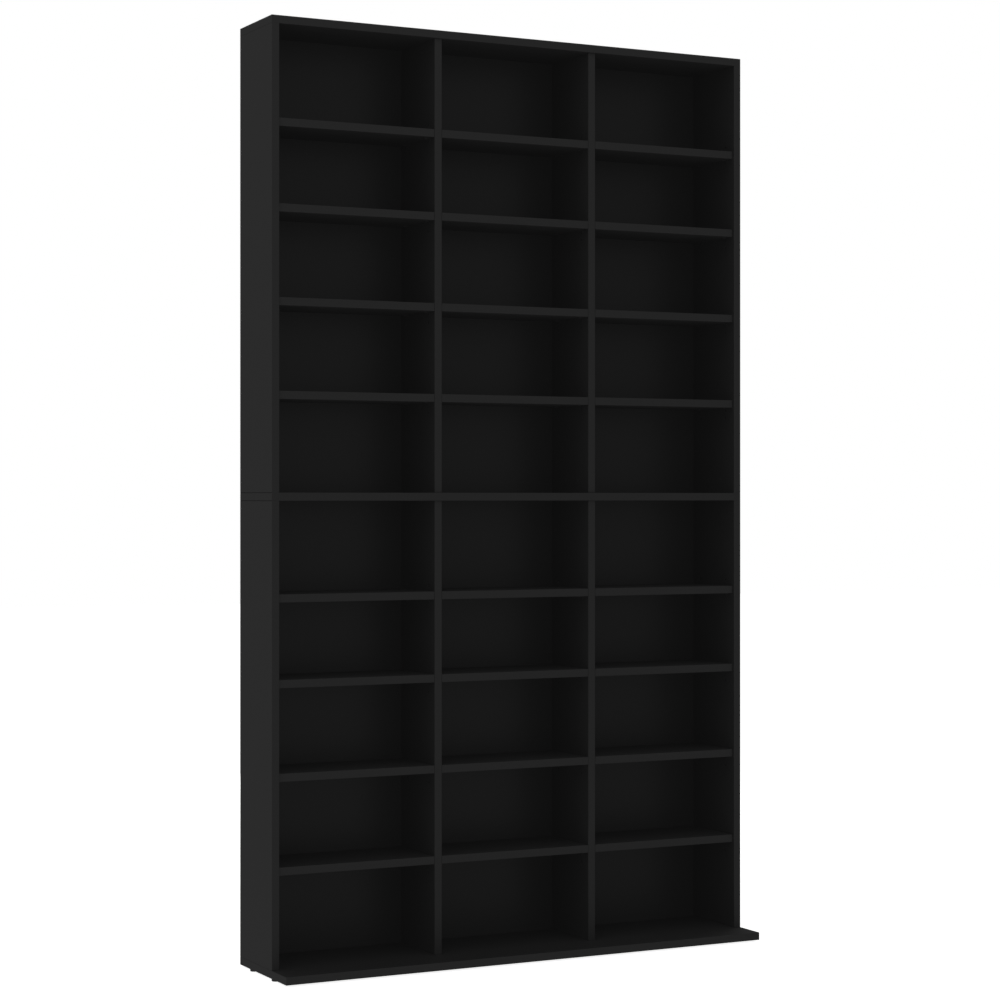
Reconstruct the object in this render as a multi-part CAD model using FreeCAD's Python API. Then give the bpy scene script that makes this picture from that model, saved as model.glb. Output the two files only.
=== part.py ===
import FreeCAD, Part
import math
import os
from FreeCAD import Vector

# Disc cabinet: an open case of melamine-faced chipboard with three columns of ten compartments.
# A lower and an upper tier of uprights stand on a base board and on a middle board that runs through.
# X runs along the front to the right, Y to the rear and Z up. Lengths are in millimetres.
# The origin is on the floor, midway along the case and midway between the base board's front and rear.

# Case boards
case_w = 1020.0          # length of the base, middle and top boards
case_d = 160.0           # depth of the sides, the middle board and the top board
base_out = 70.0          # how far the base board stands out in front of the sides
board_t = 15.0           # thickness of every chipboard piece
half_h = 865.0           # height of the uprights of each tier
column_count = 3
setback = 5.0            # how far the dividers' and shelves' fronts lie behind the sides' fronts
arris_r = 0.5            # rounding of every arris of a board
overrun = 2.0            # how far a cutting solid runs past the face that it opens
fit_gap = 0.05           # radial clearance of pins, dowels, screws and nails in their holes

# Back panels, let into a rebate so that nothing stands out behind the boards
back_t = 3.0
rebate_d = 4.0           # depth of the rebate, measured from the rear
rebate_w = 8.0           # width of the rebate in the sides, the base board and the top board
middle_rebate_w = 5.0    # width of the two rebates in the middle board's rear edge
back_gap = 0.5           # clearance round a panel in its rebate, and between two panels

# Shelves
shelf_gap = 0.5          # clearance at each end of a shelf
shelf_back_gap = 0.5     # clearance between a shelf and the back panel
hole_pitch = 15.0        # a shelf can be set one hole higher or lower than its level
hole_steps = (-1, 0, 1)
level_shares = (0.2, 0.4, 0.6, 0.8)    # levels of the middle holes, as shares of half_h
set_steps = (0, 0, 0, -1)              # the hole that each shelf sits on, counted from the middle one

# Shelf pins: a peg, a plate against the board and a tongue under the shelf
pin_r = 2.5
pin_in = 7.0
pin_hole_depth = 9.0
pin_w = 8.0
pin_out = 9.0
pin_tongue_t = 1.6
pin_plate_t = 1.2
pin_plate_h = 9.0
pin_drop = 4.5           # from the tongue's top to the peg's axis
pin_edge = 32.0          # from a side's front and rear edges to the two rows of pins

# Connector screws, with a thick shank, a coned head and a hexagon socket
screw_len = 50.0
screw_r = 3.5
screw_head_r = 5.0
screw_rim_t = 1.0
screw_cone_t = 3.0
socket_r = 2.3           # across the corners of the hexagon socket
socket_depth = 2.5
socket_sides = 6
screw_shares = (0.2, 0.8)              # places along case_d

# Caps on the top board's screw heads
cap_r = 6.5
cap_t = 0.9
cap_nib_r = 1.2
cap_nib_len = 1.8

# Dowels
dowel_r = 4.0
dowel_in_board = 10.0
dowel_in_upright = 18.0
dowel_chamfer = 0.8
dowel_end_gap = 0.8
dowel_share = 0.5                      # place along case_d

# Cam fittings at the foot of the upper uprights
cam_r = 7.5
cam_t = 12.0
cam_height = 24.0        # from the upright's foot to the housing's centre
cam_slot_w = 1.4
cam_slot_depth = 1.6
cam_cap_r = 8.5
cam_cap_t = 0.8
bolt_r = 3.0
bolt_thread_r = 2.5
bolt_thread_len = 11.0
bolt_head_r = 3.6
bolt_head_t = 3.0
cam_shares = (0.35, 0.65)              # places along case_d

# Glides nailed under the base board
glide_r = 7.5
glide_h = 4.0
glide_chamfer = 0.6
glide_recess_r = 3.2
glide_recess_depth = 1.5
glide_nail_r = 1.0
glide_nail_head_r = 2.8
glide_nail_head_t = 1.0
glide_nail_in = 11.0
glide_shares = (0.3, 0.768)            # places along the base board's depth

# Nails of the back panels
nail_r = 0.7
nail_len = 15.0
nail_head_r = 1.6
nail_head_t = 0.6
nail_side_count = 6      # up each upright edge of a panel
nail_end_count = 2       # along the base board or the top board
nail_end_margin = 40.0   # from a panel's corner to the first nail on its upright edge

# Steel angles on top at the rear, against tipping
angle_w = 20.0
angle_t = 2.0
angle_leg = 34.0
angle_rise = 22.0
angle_bend_r = 2.0
angle_corner_r = 4.0
angle_hole_r = 2.25
angle_wall_hole_r = 2.75
angle_screw_r = 2.0
angle_screw_len = 13.0
angle_screw_head_r = 3.8
angle_screw_head_t = 2.0
angle_hole_shares = (0.3, 0.72)        # places along the flat leg, from its free end
angle_wall_share = 0.6                 # place up the rising leg
angle_x_share = 0.8                    # place along half the case

# Places that follow from the sizes
half_w = case_w / 2
base_d = case_d + base_out
rear_y = base_d / 2
front_y = rear_y - case_d
base_front_y = rear_y - base_d
back_y = rear_y - rebate_d
base_z = glide_h
lower_z = base_z + board_t
middle_z = lower_z + half_h
upper_z = middle_z + board_t
top_z = upper_z + half_h
roof_z = top_z + board_t
column_pitch = (case_w - board_t) / column_count
column_w = column_pitch - board_t
shelf_w = column_w - 2 * shelf_gap
shelf_y = front_y + setback
shelf_d = back_y - shelf_back_gap - shelf_y
pin_rows = (front_y + pin_edge, rear_y - pin_edge)

tiers = (("lower", lower_z), ("upper", upper_z))
columns = ("left", "middle", "right")
uprights = ("left_side", "left_divider", "right_divider", "right_side")
up = Vector(0, 0, 1)
down = Vector(0, 0, -1)
right = Vector(1, 0, 0)
forward = Vector(0, -1, 0)
full_turn = 360.0        # degrees

parts = {}               # node name to shape
holes = []               # every drilled hole, as the solid that it takes away


# Shapes
def box(x, y, z, w, d, h):
    return Part.makeBox(w, d, h, Vector(x, y, z))


def rod(radius, length, start, direction):
    return Part.makeCylinder(radius, length, start, direction)


def turned(profile, foot, direction):
    """A solid of revolution from (radius, height) points, standing on foot along direction."""
    points = [Vector(radius, 0, height) for radius, height in profile]
    solid = Part.Face(Part.makePolygon(points + points[:1])).revolve(Vector(), up, full_turn)
    solid.Placement = FreeCAD.Placement(foot, FreeCAD.Rotation(up, direction))
    return solid


def headed(head_r, head_t, shank_r, length, point_t):
    """The profile of a flat-headed pin with a conical point, from the head's outer face."""
    return [(0, 0), (head_r, 0), (head_r, head_t), (shank_r, head_t), (shank_r, length - point_t),
            (0, length)]


def domed(radius, thickness):
    """The profile of a low cap, standing on its flat face."""
    return [(0, 0), (radius, 0), (radius, thickness / 2), (radius - thickness, thickness), (0, thickness)]


def board(x, y, z, w, d, h):
    """A chipboard piece, with every arris eased by the same small rounding."""
    solid = box(x, y, z, w, d, h)
    return solid.makeFillet(arris_r, solid.Edges)


# Drilling
def drill(radius, length, start, direction):
    """Note a hole that clears a shank of this radius. Every board that it meets is drilled."""
    holes.append(rod(radius + fit_gap, length, start, direction))


def drilled(solid):
    tools = [hole for hole in holes if hole.BoundBox.intersect(solid.BoundBox)]
    return solid.cut(tools) if tools else solid


# Places of the uprights
def upright_x(index):
    """The left face of a side or divider, counted from the left."""
    return column_pitch * index - half_w


def upright_mid(index):
    return upright_x(index) + board_t / 2


def is_side(index):
    return index in (0, column_count)


def depth_place(share):
    return front_y + case_d * share


def spots(shares):
    """The places over the uprights at these shares of the case's depth."""
    return [(upright_mid(i), depth_place(share)) for i in range(column_count + 1) for share in shares]


# Shelves and their pins
def shelf_z(floor_z, level, step):
    """The underside of a shelf set on one of the holes at a level."""
    return floor_z + half_h * level_shares[level] + hole_pitch * step


def pin_holes(index, floor_z):
    """Three holes at each level, in two rows: blind in a side, right through in a divider."""
    start = upright_x(index) - overrun
    length = board_t + 2 * overrun
    if is_side(index):
        length = pin_hole_depth + overrun
    if index == 0:
        start = upright_x(index) + board_t - pin_hole_depth
    for level in range(len(level_shares)):
        for step in hole_steps:
            for y in pin_rows:
                drill(pin_r, length, Vector(start, y, shelf_z(floor_z, level, step) - pin_drop), right)


def shelf_pin(face_x, way, y, z):
    """A pin in the face at face_x, its tongue pointing along way with its top at z."""
    plate_x = min(face_x, face_x + way * pin_plate_t)
    tongue_x = min(face_x, face_x + way * pin_out)
    side_y = y - pin_w / 2
    peg = rod(pin_r, pin_in, Vector(face_x, y, z - pin_drop), right * -way)
    plate = box(plate_x, side_y, z - pin_plate_h, pin_plate_t, pin_w, pin_plate_h)
    tongue = box(tongue_x, side_y, z - pin_tongue_t, pin_out, pin_w, pin_tongue_t)
    return peg.fuse([plate, tongue]).removeSplitter()


def shelves_of(tier, floor_z):
    pins = []
    for column, column_name in enumerate(columns):
        face_x = upright_x(column) + board_t
        for level, step in enumerate(set_steps):
            z = shelf_z(floor_z, level, step)
            name = "%s_%s_shelf_%d" % (tier, column_name, level + 1)
            parts[name] = board(face_x + shelf_gap, shelf_y, z, shelf_w, shelf_d, board_t)
            for y in pin_rows:
                pins.append(shelf_pin(face_x, 1, y, z))
                pins.append(shelf_pin(face_x + column_w, -1, y, z))
    parts[tier + "_shelf_pins"] = Part.makeCompound(pins)


# Connector screws and their caps
def screw_profile(grow):
    cone_end = screw_rim_t + screw_cone_t
    return [(0, 0), (screw_head_r + grow, 0), (screw_head_r + grow, screw_rim_t), (screw_r + grow, cone_end),
            (screw_r + grow, screw_len + grow), (0, screw_len + grow)]


def socket():
    """The hexagon that is sunk into a screw's head."""
    turns = [2 * math.pi * k / socket_sides for k in range(socket_sides + 1)]
    corners = [Vector(socket_r * math.cos(turn), socket_r * math.sin(turn), 0) for turn in turns]
    return Part.Face(Part.makePolygon(corners)).extrude(up * socket_depth)


def connector_screw(foot, direction):
    """A screw whose head's outer face is at foot and whose shank runs along direction."""
    holes.append(turned(screw_profile(fit_gap), foot, direction))
    sunk = socket()
    sunk.Placement = FreeCAD.Placement(foot, FreeCAD.Rotation(up, direction))
    return turned(screw_profile(0), foot, direction).cut(sunk)


def screw_rows():
    for name, z, direction in (("base_screws", base_z, up), ("middle_screws", upper_z, down),
                               ("top_screws", roof_z, down)):
        row = [connector_screw(Vector(x, y, z), direction) for x, y in spots(screw_shares)]
        parts[name] = Part.makeCompound(row)


def top_caps():
    caps = []
    for x, y in spots(screw_shares):
        foot = Vector(x, y, roof_z)
        caps.append(turned(domed(cap_r, cap_t), foot, up).fuse(rod(cap_nib_r, cap_nib_len, foot, down)))
    parts["top_screw_caps"] = Part.makeCompound(caps)


# Dowels
def dowel(x, y, low, high):
    """A round dowel with chamfered ends, in a hole a little longer than itself."""
    length = high - low
    slim_r = dowel_r - dowel_chamfer
    drill(dowel_r, length + 2 * dowel_end_gap, Vector(x, y, low - dowel_end_gap), up)
    profile = [(0, 0), (slim_r, 0), (dowel_r, dowel_chamfer), (dowel_r, length - dowel_chamfer),
               (slim_r, length), (0, length)]
    return turned(profile, Vector(x, y, low), up)


def dowels():
    """One in each upright's ends; the middle ones run through the middle board into both tiers."""
    spans = ((lower_z - dowel_in_board, lower_z + dowel_in_upright),
             (middle_z - dowel_in_upright, upper_z + dowel_in_upright),
             (top_z - dowel_in_upright, top_z + dowel_in_board))
    row = [dowel(x, y, low, high) for low, high in spans for x, y in spots((dowel_share,))]
    parts["dowels"] = Part.makeCompound(row)


# Cam fittings
def cam_bolt(x, y):
    """A bolt screwed into the middle board, its head in the housing's centre."""
    thread_top = bolt_thread_len
    head_top = bolt_thread_len + cam_height + bolt_head_t / 2
    neck = head_top - bolt_head_t
    drill(bolt_thread_r, bolt_thread_len + fit_gap, Vector(x, y, upper_z), down)
    drill(bolt_head_r, cam_height, Vector(x, y, upper_z), up)
    profile = [(0, 0), (bolt_thread_r, 0), (bolt_thread_r, thread_top), (bolt_r, thread_top), (bolt_r, neck),
               (bolt_head_r, neck), (bolt_head_r, head_top), (0, head_top)]
    return turned(profile, Vector(x, y, upper_z - bolt_thread_len), up)


def cam_housing(face_x, way, x, y):
    """The round housing let into the face at face_x, hollow for the bolt's head, with a cross slot."""
    centre = Vector(face_x, y, upper_z + cam_height)
    drill(cam_r, cam_t, centre, right * -way)
    hollow = rod(bolt_head_r + fit_gap, cam_r + bolt_head_t / 2 + fit_gap,
                 Vector(x, y, centre.z - cam_r), up)
    slot_x = min(face_x, face_x - way * cam_slot_depth)
    slots = [box(slot_x, y - w / 2, centre.z - h / 2, cam_slot_depth, w, h)
             for w, h in ((cam_slot_w, cam_r), (cam_r, cam_slot_w))]
    return rod(cam_r, cam_t, centre, right * -way).cut([hollow] + slots)


def cam_cap(face_x, way, y):
    centre = Vector(face_x, y, upper_z + cam_height)
    nib = rod(cam_slot_w / 2 - fit_gap, cam_slot_depth, centre, right * -way)
    return turned(domed(cam_cap_r, cam_cap_t), centre, right * way).fuse(nib)


def cam_fittings():
    bolts = []
    housings = []
    caps = []
    for index in range(column_count + 1):
        way = -1 if 2 * index > column_count else 1
        face_x = upright_x(index) if way < 0 else upright_x(index) + board_t
        for share in cam_shares:
            y = depth_place(share)
            bolts.append(cam_bolt(upright_mid(index), y))
            housings.append(cam_housing(face_x, way, upright_mid(index), y))
            caps.append(cam_cap(face_x, way, y))
    parts["cam_bolts"] = Part.makeCompound(bolts)
    parts["cam_housings"] = Part.makeCompound(housings)
    parts["cam_caps"] = Part.makeCompound(caps)


# Glides
def glide_profile():
    bore_r = glide_nail_r + fit_gap
    return [(bore_r, glide_recess_depth), (glide_recess_r, glide_recess_depth), (glide_recess_r, 0),
            (glide_r - glide_chamfer, 0), (glide_r, glide_chamfer), (glide_r, glide_h), (bore_r, glide_h)]


def glides():
    discs = []
    nails = []
    head_z = glide_recess_depth - glide_nail_head_t
    nail = headed(glide_nail_head_r, glide_nail_head_t, glide_nail_r, base_z + glide_nail_in - head_z,
                  glide_nail_r)
    for index in range(column_count + 1):
        for share in glide_shares:
            foot = Vector(upright_mid(index), base_front_y + base_d * share, 0)
            discs.append(turned(glide_profile(), foot, up))
            nails.append(turned(nail, foot + up * head_z, up))
            drill(glide_nail_r, glide_nail_in + fit_gap, foot + up * base_z, up)
    parts["glides"] = Part.makeCompound(discs)
    parts["glide_nails"] = Part.makeCompound(nails)


# Back panels and their nails
def panel_span_x(column):
    """Left and right edges of a panel: on a divider's midline, or in a side's rebate."""
    low = upright_mid(column) + back_gap / 2
    high = upright_mid(column + 1) - back_gap / 2
    if column == 0:
        low = board_t - half_w - rebate_w + back_gap
    if column == column_count - 1:
        high = half_w - board_t + rebate_w - back_gap
    return low, high


def panel_span_z(tier):
    if tier == "lower":
        return lower_z - rebate_w + back_gap, middle_z + middle_rebate_w - back_gap
    return upper_z - middle_rebate_w + back_gap, top_z + rebate_w - back_gap


def nail_places(tier, column):
    """Nails up both upright edges of a panel, and along its end on the base board or top board."""
    left_x, right_x = panel_span_x(column)
    low, high = panel_span_z(tier)
    inset = (board_t - back_gap) / 4
    first = low + nail_end_margin
    rise = (high - low - 2 * nail_end_margin) / (nail_side_count - 1)
    across = (right_x - left_x) / (nail_end_count + 1)
    end_z = low + inset if tier == "lower" else high - inset
    sides = [(x, first + rise * k) for k in range(nail_side_count) for x in (left_x + inset, right_x - inset)]
    return sides + [(left_x + across * (k + 1), end_z) for k in range(nail_end_count)]


def back_nails():
    rear = back_y + back_t
    profile = headed(nail_head_r, nail_head_t, nail_r, nail_head_t + nail_len, nail_r)
    nails = []
    for tier, _ in tiers:
        for column in range(column_count):
            for x, z in nail_places(tier, column):
                nails.append(turned(profile, Vector(x, rear + nail_head_t, z), forward))
                drill(nail_r, nail_len + fit_gap, Vector(x, rear, z), forward)
    parts["back_nails"] = Part.makeCompound(nails)


def back_panels(tier):
    low, high = panel_span_z(tier)
    for column, column_name in enumerate(columns):
        left_x, right_x = panel_span_x(column)
        panel = box(left_x, back_y, low, right_x - left_x, back_t, high - low)
        parts["%s_%s_back" % (tier, column_name)] = drilled(panel)


# Angles on top
def runs_along_x(edge):
    return edge.Length > angle_w - angle_t and abs(edge.Vertexes[0].X - edge.Vertexes[-1].X) > angle_t


def bent_strip(x):
    """The angle before it is drilled, with its inner bend and its four corners rounded."""
    left_x = x - angle_w / 2
    flat = box(left_x, rear_y - angle_leg, roof_z, angle_w, angle_leg, angle_t)
    rise = box(left_x, rear_y - angle_t, roof_z, angle_w, angle_t, angle_rise)
    strip = flat.fuse(rise).removeSplitter()
    inner = Vector(x, rear_y - angle_t, roof_z + angle_t)
    bend = [e for e in strip.Edges if runs_along_x(e) and e.CenterOfMass.distanceToPoint(inner) < angle_t / 2]
    strip = strip.makeFillet(angle_bend_r, bend)
    corners = [e for e in strip.Edges if abs(e.Length - angle_t) < fit_gap and (
        e.CenterOfMass.z > roof_z + angle_rise - angle_t or e.CenterOfMass.y < rear_y - angle_leg + angle_t)]
    return strip.makeFillet(angle_corner_r, corners)


def wall_angles():
    angles = []
    screws = []
    length = angle_screw_head_t + angle_screw_len
    rim = angle_screw_head_r
    profile = [(0, 0), (rim / 2, 0), (rim, angle_screw_head_t / 2), (rim, angle_screw_head_t),
               (angle_screw_r, angle_screw_head_t), (angle_screw_r, length - 2 * angle_screw_r), (0, length)]
    for way in (-1, 1):
        x = half_w * angle_x_share * way
        wall_z = roof_z + angle_rise * angle_wall_share
        tools = [rod(angle_wall_hole_r, angle_t + 2 * overrun, Vector(x, rear_y + overrun, wall_z), forward)]
        for share in angle_hole_shares:
            foot = Vector(x, rear_y - angle_leg * (1 - share), roof_z)
            tools.append(rod(angle_hole_r, angle_t + overrun, foot, up))
            screws.append(turned(profile, foot + up * (angle_t + angle_screw_head_t), down))
            drill(angle_screw_r, angle_screw_len - angle_t + fit_gap, foot, down)
        angles.append(bent_strip(x).cut(tools))
    parts["wall_angles"] = Part.makeCompound(angles)
    parts["wall_angle_screws"] = Part.makeCompound(screws)


# Boards
def rebate(z, height):
    """The cutting solid of a stopped rebate along a long board's rear edge."""
    reach = half_w - board_t + rebate_w
    return box(-reach, back_y, z, 2 * reach, rebate_d + overrun, height)


def long_boards():
    cuts = (("base_board", base_z, base_front_y, [rebate(lower_z - rebate_w, rebate_w + overrun)]),
            ("middle_board", middle_z, front_y,
             [rebate(middle_z - overrun, overrun + middle_rebate_w),
              rebate(upper_z - middle_rebate_w, middle_rebate_w + overrun)]),
            ("top_board", top_z, front_y, [rebate(top_z - overrun, overrun + rebate_w)]))
    for name, z, front, rebates in cuts:
        parts[name] = drilled(board(-half_w, front, z, case_w, rear_y - front, board_t).cut(rebates))


def side(index, floor_z):
    """A full-depth upright with a rebate down its inner rear edge."""
    x = upright_x(index)
    inner_x = x + board_t - rebate_w if index == 0 else x - overrun
    cut = box(inner_x, back_y, floor_z - overrun,
              rebate_w + overrun, rebate_d + overrun, half_h + 2 * overrun)
    return board(x, front_y, floor_z, board_t, case_d, half_h).cut(cut)


def divider(index, floor_z):
    """An upright that is set back in front and ends at the back panels."""
    return board(upright_x(index), shelf_y, floor_z, board_t, back_y - shelf_y, half_h)


def upright_boards(tier, floor_z):
    for index, name in enumerate(uprights):
        upright = side(index, floor_z) if is_side(index) else divider(index, floor_z)
        parts["%s_%s" % (tier, name)] = drilled(upright)


# Fittings come first, because they note the holes that the boards then get
for tier, floor_z in tiers:
    for index in range(column_count + 1):
        pin_holes(index, floor_z)
    shelves_of(tier, floor_z)
screw_rows()
top_caps()
dowels()
cam_fittings()
glides()
back_nails()
wall_angles()
long_boards()
for tier, floor_z in tiers:
    upright_boards(tier, floor_z)
    back_panels(tier)

os.makedirs("parts", exist_ok=True)
for name, shape in parts.items():
    shape.exportStep("parts/%s.step" % name)

travel = shelf_y + shelf_d - (pin_rows[1] - pin_w / 2)
print("%d nodes; a shelf can slide forward %.1f mm before it leaves its rear pins" % (len(parts), travel))
print("columns clear %.1f mm, shelves %.1f by %.1f mm" % (column_w, shelf_w, shelf_d))
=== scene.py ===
# %% [markdown]
# # A cabinet for discs
# The real object is flat-pack furniture: black melamine-faced chipboard boards, thin hardboard backs,
# and loose shelves on small metal pins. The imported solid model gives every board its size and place.
# This script could draw the boards anew, but it keeps them as they are, gives each surface the finish
# of its real material, and models anew the small fittings that the solids hold in a plain form.

# %% Load the frame
import bmesh
import bpy
import math
from mathutils import Matrix, Vector


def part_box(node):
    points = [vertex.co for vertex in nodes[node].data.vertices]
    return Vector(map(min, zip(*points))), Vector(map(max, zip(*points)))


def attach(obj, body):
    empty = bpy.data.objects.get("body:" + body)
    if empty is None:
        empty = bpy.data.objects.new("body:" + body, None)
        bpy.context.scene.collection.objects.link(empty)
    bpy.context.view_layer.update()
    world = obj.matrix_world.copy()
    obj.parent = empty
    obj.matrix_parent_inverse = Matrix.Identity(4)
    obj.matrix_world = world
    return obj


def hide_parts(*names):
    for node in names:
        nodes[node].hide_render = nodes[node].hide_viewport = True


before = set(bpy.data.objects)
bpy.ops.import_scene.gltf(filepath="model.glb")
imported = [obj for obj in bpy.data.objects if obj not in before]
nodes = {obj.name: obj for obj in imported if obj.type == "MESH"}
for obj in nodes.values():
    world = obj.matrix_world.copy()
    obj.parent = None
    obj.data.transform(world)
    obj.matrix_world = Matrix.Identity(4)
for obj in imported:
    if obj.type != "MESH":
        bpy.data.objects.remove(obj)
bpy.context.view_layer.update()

MM = 0.001  # one millimetre in metres, the unit of every object here

# %% [markdown]
# ## Measuring the case
# Every later step needs to know where a board begins and ends. The numbers could be typed in, but they
# would go stale as soon as a board changed, so they are read from the frame.

# %% Places read from the frame
TIERS = ("lower", "upper")
COLUMNS = ("left", "middle", "right")
UPRIGHTS = ("left_side", "left_divider", "right_divider", "right_side")
SHELVES_IN_COLUMN = 4

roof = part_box("top_board")[1].z
case_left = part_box("top_board")[0].x
case_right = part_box("top_board")[1].x
# Heights of the joints that show as dark lines of painted shade, and of those whose painted shade hardly
# shows.
open_joints = (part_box("middle_board")[0].z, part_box("middle_board")[1].z)
tight_joints = (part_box("base_board")[1].z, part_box("top_board")[0].z)
side_names = ["%s_%s" % (tier, name) for tier in TIERS for name in UPRIGHTS if name.endswith("side")]
divider_names = ["%s_%s" % (tier, name) for tier in TIERS for name in UPRIGHTS if name.endswith("divider")]
shelf_names = ["%s_%s_shelf_%d" % (tier, column, level + 1) for tier in TIERS for column in COLUMNS
               for level in range(SHELVES_IN_COLUMN)]
back_names = ["%s_%s_back" % (tier, column) for tier in TIERS for column in COLUMNS]
print("roof at %.3f m," % roof, len(shelf_names), "shelves,", len(back_names), "back panels")

# %% [markdown]
# ## The camera
# The photograph shows upright verticals and two gentle vanishing directions, so the camera stood level,
# about five metres away, turned to the right, with a long lens. A guess by eye could come near, but here
# the lens, the turn and the place were solved from the cabinet's own corners and are kept as real values.
# The horizon lies three pixels above the picture's middle, which a tiny shift gives.

# %% Camera
IMAGE_SIZE = 1000  # pixels, both ways
HORIZON_ROW = 496.9  # pixel row of the horizon
LENS_MM = 89.08
SENSOR_MM = 36.0
LEVEL = 90.0  # degrees up from straight down, where an unturned camera looks
CAMERA_TURN = 27.18  # degrees to the right of straight ahead
CAMERA_PLACE = Vector((-2215.7, -4286.1, 891.1)) * MM

camera_data = bpy.data.cameras.new("photo_camera")
camera_data.sensor_width = SENSOR_MM
camera_data.lens = LENS_MM
camera_data.shift_y = HORIZON_ROW / IMAGE_SIZE - 0.5
camera = bpy.data.objects.new("photo_camera", camera_data)
camera.location = CAMERA_PLACE
camera.rotation_euler = (math.radians(LEVEL), 0, -math.radians(CAMERA_TURN))
bpy.context.scene.collection.objects.link(camera)
bpy.context.scene.camera = camera
print("camera %.2f m from the case" % (camera.location - Vector((0, 0, roof / 2))).length)

# %% [markdown]
# ## Colours
# Paint and film colours are easiest to name as the hex values that a picture editor shows, but shaders
# work in linear light. Instead of turning each value by hand, one function does it for all, with the
# numbers of the sRGB standard's own curve.

# %% Hex colours in linear light
def linear(hex_colour):
    """The linear colour, with alpha, of an sRGB hex value such as #1d1d1d."""
    channels = [int(hex_colour[k:k + 2], 16) / 255 for k in (1, 3, 5)]
    return tuple(c / 12.92 if c <= 0.04045 else ((c + 0.055) / 1.055) ** 2.4 for c in channels) + (1.0,)


print("mid grey in linear light:", round(linear("#808080")[0], 4))

# %% [markdown]
# ## Materials made of nodes
# Wired one link at a time, a material gets long and hard to follow, so one function adds a shader node
# together with its settings and its links. Patterns read the object's own coordinates, so they stay on a
# piece that moves, and their scale comes from a real size in millimetres.

# %% Node helpers
FACTOR, MIX_A, MIX_B = 0, 6, 7  # the colour sockets of a Mix node
MIXED = 2  # and its colour output


def add_node(tree, kind, sockets=None, **settings):
    """Add one shader node, give it its settings, and fill its sockets with values or links."""
    node = tree.nodes.new("ShaderNode" + kind)
    for name, value in settings.items():
        setattr(node, name, value)
    for name, value in (sockets or {}).items():
        if isinstance(value, bpy.types.NodeSocket):
            tree.links.new(value, node.inputs[name])
        else:
            node.inputs[name].default_value = value
    return node


def repeats(size_mm):
    """The scale that makes one repeat of a texture this many millimetres wide."""
    return 1 / (size_mm * MM)


def start_material(name):
    """A new material, its empty node tree, and the object's own coordinates in it."""
    material = bpy.data.materials.new(name)
    material.use_nodes = True
    material.node_tree.nodes.clear()
    return material, material.node_tree, add_node(material.node_tree, "TexCoord").outputs["Object"]


def finish_material(material, tree, surface):
    """Close a material with the main shader, whose sockets are given."""
    shader = add_node(tree, "BsdfPrincipled", surface)
    add_node(tree, "OutputMaterial", {"Surface": shader.outputs["BSDF"]})
    print("material:", material.name, "nodes:", len(tree.nodes))
    return material


def mottled(tree, place, size_mm, detail, dark, light):
    """Clouds of this size, and a tint that changes with them between two hex colours."""
    clouds = add_node(tree, "TexNoise", {"Vector": place, "Scale": repeats(size_mm), "Detail": detail})
    tint = add_node(tree, "Mix", {FACTOR: clouds.outputs["Fac"], MIX_A: linear(dark), MIX_B: linear(light)},
                    data_type="RGBA")
    return clouds.outputs["Fac"], tint.outputs[MIXED]


def give_finish(material, *names):
    """Put one material in the slots of these CAD nodes."""
    for name in names:
        for material_slot in nodes[name].material_slots:
            material_slot.material = material


print("a grain of 1 mm needs the scale", repeats(1))

# %% [markdown]
# ## Studio
# The cabinet was shown cut out on white, under soft light. Its left side is the brightest, the fronts are
# darker, and the boards fade quickly towards the backs, so most of the light comes from the left, from
# above and from below, and little from behind the camera. Four large cloths would give that, but the
# world itself plays them without noise: each is strongest along its axis and fades with the square of
# the slant.

# %% World
SOFT_SIDES = (("X", -1, 0.60), ("Y", -1, 0.30), ("Z", 1, 0.43), ("Z", -1, 0.54))  # axis, sign, strength
SLANT_POWER = 2.0  # how fast a cloth fades away from its axis
SWEEP_SEEN = 1.0  # strength of the white sweep behind the object

world = bpy.data.worlds.new("four_soft_sides")
bpy.context.scene.world = world
world.use_nodes = True
tree = world.node_tree
tree.nodes.clear()
ray = add_node(tree, "LightPath")
direction = add_node(tree, "SeparateXYZ", {0: add_node(tree, "TexCoord").outputs["Generated"]})
strength = 0.0
for axis, sign, power in SOFT_SIDES:
    towards = add_node(tree, "Math", {0: direction.outputs[axis], 1: sign}, operation="MULTIPLY")
    only = add_node(tree, "Math", {0: towards.outputs[0], 1: 0.0}, operation="MAXIMUM")
    fade = add_node(tree, "Math", {0: only.outputs[0], 1: SLANT_POWER}, operation="POWER")
    strength = add_node(tree, "Math", {0: fade.outputs[0], 1: power, 2: strength},
                        operation="MULTIPLY_ADD").outputs[0]
cloths = add_node(tree, "Background", {"Color": linear("#ffffff"), "Strength": strength})
sweep = add_node(tree, "Background", {"Color": linear("#ffffff"), "Strength": SWEEP_SEEN})
seen = add_node(tree, "MixShader", {0: ray.outputs["Is Camera Ray"], 1: cloths.outputs[0],
                                    2: sweep.outputs[0]})
add_node(tree, "OutputWorld", {"Surface": seen.outputs[0]})
print("light from", len(SOFT_SIDES), "sides")

# %% [markdown]
# A photograph's blacks are never quite black, because a little light scatters in the lens. Lifting the
# colour of every material would flatten them, so the picture's own black level is set instead.

# %% Picture settings
PICTURE_HAZE = 0.0029  # the deepest black of the photograph, in linear light

view = bpy.context.scene.view_settings
view.view_transform = "Standard"
view.use_curve_mapping = True
view.curve_mapping.black_level = (-PICTURE_HAZE, -PICTURE_HAZE, -PICTURE_HAZE)
view.curve_mapping.update()
print("view:", view.view_transform, "with the black level at", -PICTURE_HAZE)

# %% [markdown]
# Three large lamps join the soft sides. One overhead tells the tops of the boards from their fronts. One
# behind and one on the right stand where neither the fronts nor the left side can see them, so that the
# raw back and the right side aren't lost in the dark when the camera goes round.

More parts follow.
